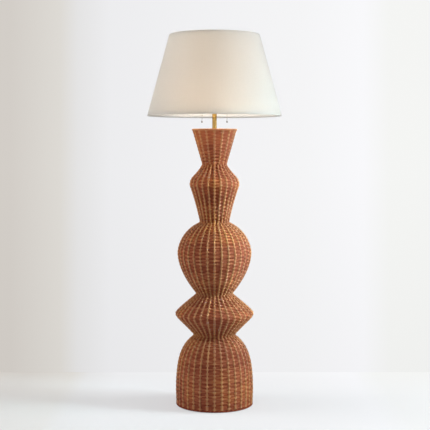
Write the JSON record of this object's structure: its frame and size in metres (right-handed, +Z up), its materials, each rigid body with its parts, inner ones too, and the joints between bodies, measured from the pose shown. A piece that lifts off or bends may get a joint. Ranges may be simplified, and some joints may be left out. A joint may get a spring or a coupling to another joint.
{
  "type": "floor lamp",
  "caption": "Floor lamp with a turned, woven rattan body, brass neck, pull-chain sockets and a tapered linen shade.",
  "frame": {"origin": "on the floor, at the centre of the lamp's footprint, under the axis of the pipe", "axes": "+Z up along the pipe; front faces -Y; the two sockets and their chains lie to -X and +X, and the cord outlet is at +Y"},
  "size_m": [0.5588, 0.5588, 1.5345],
  "materials": {
    "rattan": "woven cane, stained reddish brown, satin",
    "iron": "black enamel over cast iron",
    "felt": "dark brown felt",
    "steel": "zinc plated",
    "nylon": "moulded, dark brown",
    "bronze": "brown enamel, satin",
    "brass": "satin brass",
    "phenolic": "moulded, black",
    "nickel": "nickel plated",
    "frosted_glass": "frosted white",
    "linen": "natural linen, plain weave",
    "shade_liner": "white sheet bonded to the linen"
  },
  "bodies": {
    "lamp_body": {"foot_border": "rattan", "woven_base_dome": "rattan", "woven_lower_diamond": "rattan", "woven_globe": "rattan", "woven_upper_urn": "rattan", "woven_top_cone": "rattan", "rim_border": "rattan", "base_weight": "iron", "felt_pad": "felt", "base_lock_washer": "steel", "base_lock_nut": "steel", "base_top_nut": "steel", "threaded_pipe": "steel", "wire_frame": "steel", "finial_stud": "steel", "cord_bushing": "nylon", "cord_bushing_nut": "nylon", "top_cap": "bronze", "neck_seat": "brass", "neck_tube": "brass", "neck_collar": "brass", "cluster_body": "brass", "riser_rod": "brass", "riser_seat": "brass", "left_arm_nipple": "brass", "left_socket_cap": "brass", "left_socket_shell": "brass", "left_chain_guide": "brass", "right_arm_nipple": "brass", "right_socket_cap": "brass", "right_socket_shell": "brass", "right_chain_guide": "brass", "left_socket_interior": "phenolic", "right_socket_interior": "phenolic"},
    "shade": {"shade_spider": "steel", "shade_top_ring": "steel", "shade_bottom_ring": "steel", "shade_liner": "shade_liner", "shade_cover": "linen"},
    "finial": {"finial": "brass"},
    "left_bulb": {"left_bulb_base": "nickel", "left_bulb_glass": "frosted_glass"},
    "right_bulb": {"right_bulb_base": "nickel", "right_bulb_glass": "frosted_glass"},
    "left_pull": {"left_pull_chain": "nickel", "left_chain_knob": "nickel"},
    "right_pull": {"right_pull_chain": "nickel", "right_chain_knob": "nickel"}
  },
  "joints": [
    {"name": "shade_turn", "type": "hinge", "parent": "lamp_body", "child": "shade", "pos_m": [0, 0, 1.508], "axis": [0, 0, 1], "continuous": true},
    {"name": "finial_turn", "type": "hinge", "parent": "lamp_body", "child": "finial", "pos_m": [0, 0, 1.52], "axis": [0, 0, 1], "range_deg": [0, 1080]},
    {"name": "left_bulb_turn", "type": "hinge", "parent": "lamp_body", "child": "left_bulb", "pos_m": [-0.1, 0, 1.288], "axis": [-1, 0, 0], "range_deg": [0, 1080]},
    {"name": "right_bulb_turn", "type": "hinge", "parent": "lamp_body", "child": "right_bulb", "pos_m": [0.1, 0, 1.288], "axis": [1, 0, 0], "range_deg": [0, 1080]},
    {"name": "left_chain_pull", "type": "slide", "parent": "lamp_body", "child": "left_pull", "axis": [0, 0, -1], "range_m": [0, 0.008], "stiffness_N_per_m": 1500, "springref_m": -0.002},
    {"name": "right_chain_pull", "type": "slide", "parent": "lamp_body", "child": "right_pull", "axis": [0, 0, -1], "range_m": [0, 0.008], "stiffness_N_per_m": 1500, "springref_m": -0.002}
  ]
}
